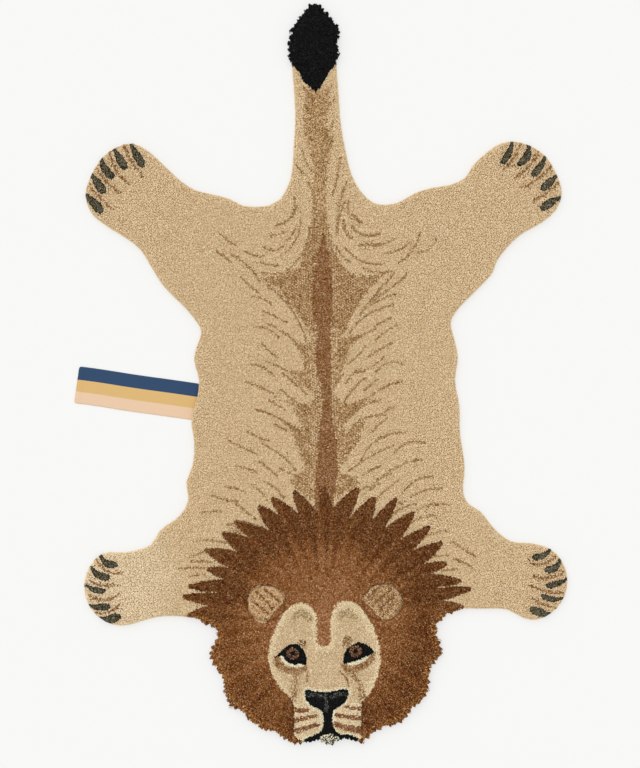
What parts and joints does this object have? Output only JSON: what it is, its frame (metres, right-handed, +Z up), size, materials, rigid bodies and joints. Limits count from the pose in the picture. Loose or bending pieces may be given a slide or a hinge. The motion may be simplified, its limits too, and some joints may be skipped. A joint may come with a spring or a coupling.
{
  "type": "lion shaped kids rug",
  "caption": "Flat tufted rug in the outline of a lion's hide, with a cut pile, a longer shaggy mane and tail tip, and a woven side label.",
  "frame": {"origin": "on the floor, under the middle of the whole rug's box, the side label included", "axes": "+Y runs along the spine towards the tail, -Y towards the head, +X to the right of one who looks down on it with the tail up, +Z up out of the pile"},
  "size_m": [1.031, 1.5517, 0.0257],
  "materials": {
    "wool_pile": "matt heathered wool pile, sandy tan with a red-brown mane and black tail tip",
    "label_ribbon": "woven ribbon in navy, ochre and blush bands, slightly satin"
  },
  "bodies": {
    "root": {"tufted_rug": "wool_pile", "side_label": "label_ribbon"}
  },
  "joints": []
}
